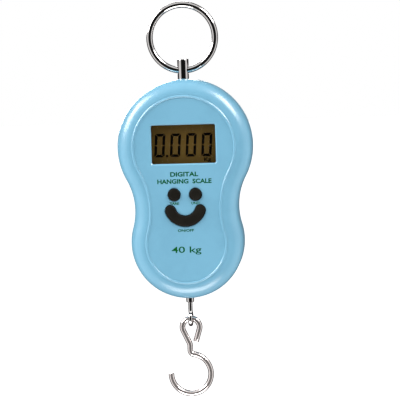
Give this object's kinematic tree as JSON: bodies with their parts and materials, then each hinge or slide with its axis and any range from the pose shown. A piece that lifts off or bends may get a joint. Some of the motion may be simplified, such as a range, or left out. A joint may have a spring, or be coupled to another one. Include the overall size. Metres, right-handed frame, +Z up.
{
  "type": "digital hanging scale",
  "caption": "Hand-held digital hanging scale: figure-of-eight plastic case on a load cell, carry ring on a post above, display, keys and an open wire hook below.",
  "frame": {"origin": "inside of the carry ring at its top, where a finger or peg bears; the scale hangs straight down from it", "axes": "+Z up along the ring, post, case and hook; -Y is the display face; +X to the right seen from the front"},
  "size_m": [0.075, 0.031, 0.2213],
  "materials": {
    "case_blue": "semi-gloss moulded ABS",
    "key_black": "matt moulded",
    "window_clear": "clear polished",
    "display_olive": "satin reflective display",
    "chrome": "bright plated",
    "nickel": "nickel plated wire",
    "aluminium": "milled",
    "zinc_steel": "zinc plated",
    "board_green": "solder mask",
    "holder_black": "moulded",
    "rubber_grey": "silicone",
    "epoxy_black": "moulded",
    "gauge_amber": "polyimide film",
    "cell_jacket": "printed foil jacket",
    "wire_red": "insulated",
    "wire_black": "insulated",
    "wire_white": "insulated"
  },
  "bodies": {
    "ring": {"carry_ring": "chrome"},
    "housing": {"top_post": "chrome", "post_nut": "zinc_steel", "front_cover": "case_blue", "rear_cover": "case_blue", "case_screw_1": "zinc_steel", "case_screw_2": "zinc_steel", "case_screw_3": "zinc_steel", "case_screw_4": "zinc_steel", "display_window": "window_clear", "lcd_panel": "display_olive", "lcd_holder": "holder_black", "zebra_strip_lower": "rubber_grey", "zebra_strip_upper": "rubber_grey", "main_board": "board_green", "chip_cover": "epoxy_black", "board_screw_1": "zinc_steel", "board_screw_2": "zinc_steel", "board_screw_3": "zinc_steel", "board_screw_4": "zinc_steel", "tare_switch": "epoxy_black", "unit_switch": "epoxy_black", "power_switch": "epoxy_black", "load_cell": "aluminium", "strain_gauge_left": "gauge_amber", "strain_gauge_right": "gauge_amber", "cell_screw_1": "zinc_steel", "cell_screw_2": "zinc_steel", "eye_nut": "zinc_steel", "eye_bolt": "chrome", "battery_left": "cell_jacket", "battery_right": "cell_jacket", "contact_bridge": "zinc_steel", "contact_positive": "zinc_steel", "contact_negative": "zinc_steel", "lead_red": "wire_red", "lead_black": "wire_black", "gauge_lead": "wire_white"},
    "tare_button": {"tare_key": "key_black", "tare_plunger": "rubber_grey"},
    "unit_button": {"unit_key": "key_black", "unit_plunger": "rubber_grey"},
    "power_button": {"power_key": "key_black", "power_plunger": "rubber_grey"},
    "door": {"battery_door": "case_blue"},
    "load_hook": {"hook": "nickel"}
  },
  "joints": [
    {"name": "ring_swing", "type": "hinge", "parent": "ring", "child": "housing", "pos_m": [0, 0, -0.0346], "axis": [1, 0, 0], "range_deg": [-95, 95]},
    {"name": "hook_swing", "type": "hinge", "parent": "housing", "child": "load_hook", "pos_m": [0, 0, -0.1735], "axis": [1, 0, 0], "range_deg": [-100, 100]},
    {"name": "tare_press", "type": "slide", "parent": "housing", "child": "tare_button", "axis": [0, 1, 0], "range_m": [0, 0.0005], "stiffness_N_per_m": 800},
    {"name": "unit_press", "type": "slide", "parent": "housing", "child": "unit_button", "axis": [0, 1, 0], "range_m": [0, 0.0005], "stiffness_N_per_m": 800},
    {"name": "power_press", "type": "slide", "parent": "housing", "child": "power_button", "axis": [0, 1, 0], "range_m": [0, 0.0005], "stiffness_N_per_m": 800},
    {"name": "door_swing", "type": "hinge", "parent": "housing", "child": "door", "pos_m": [0, 0.016, -0.1503], "axis": [-1, 0, 0], "range_deg": [0, 60]}
  ]
}
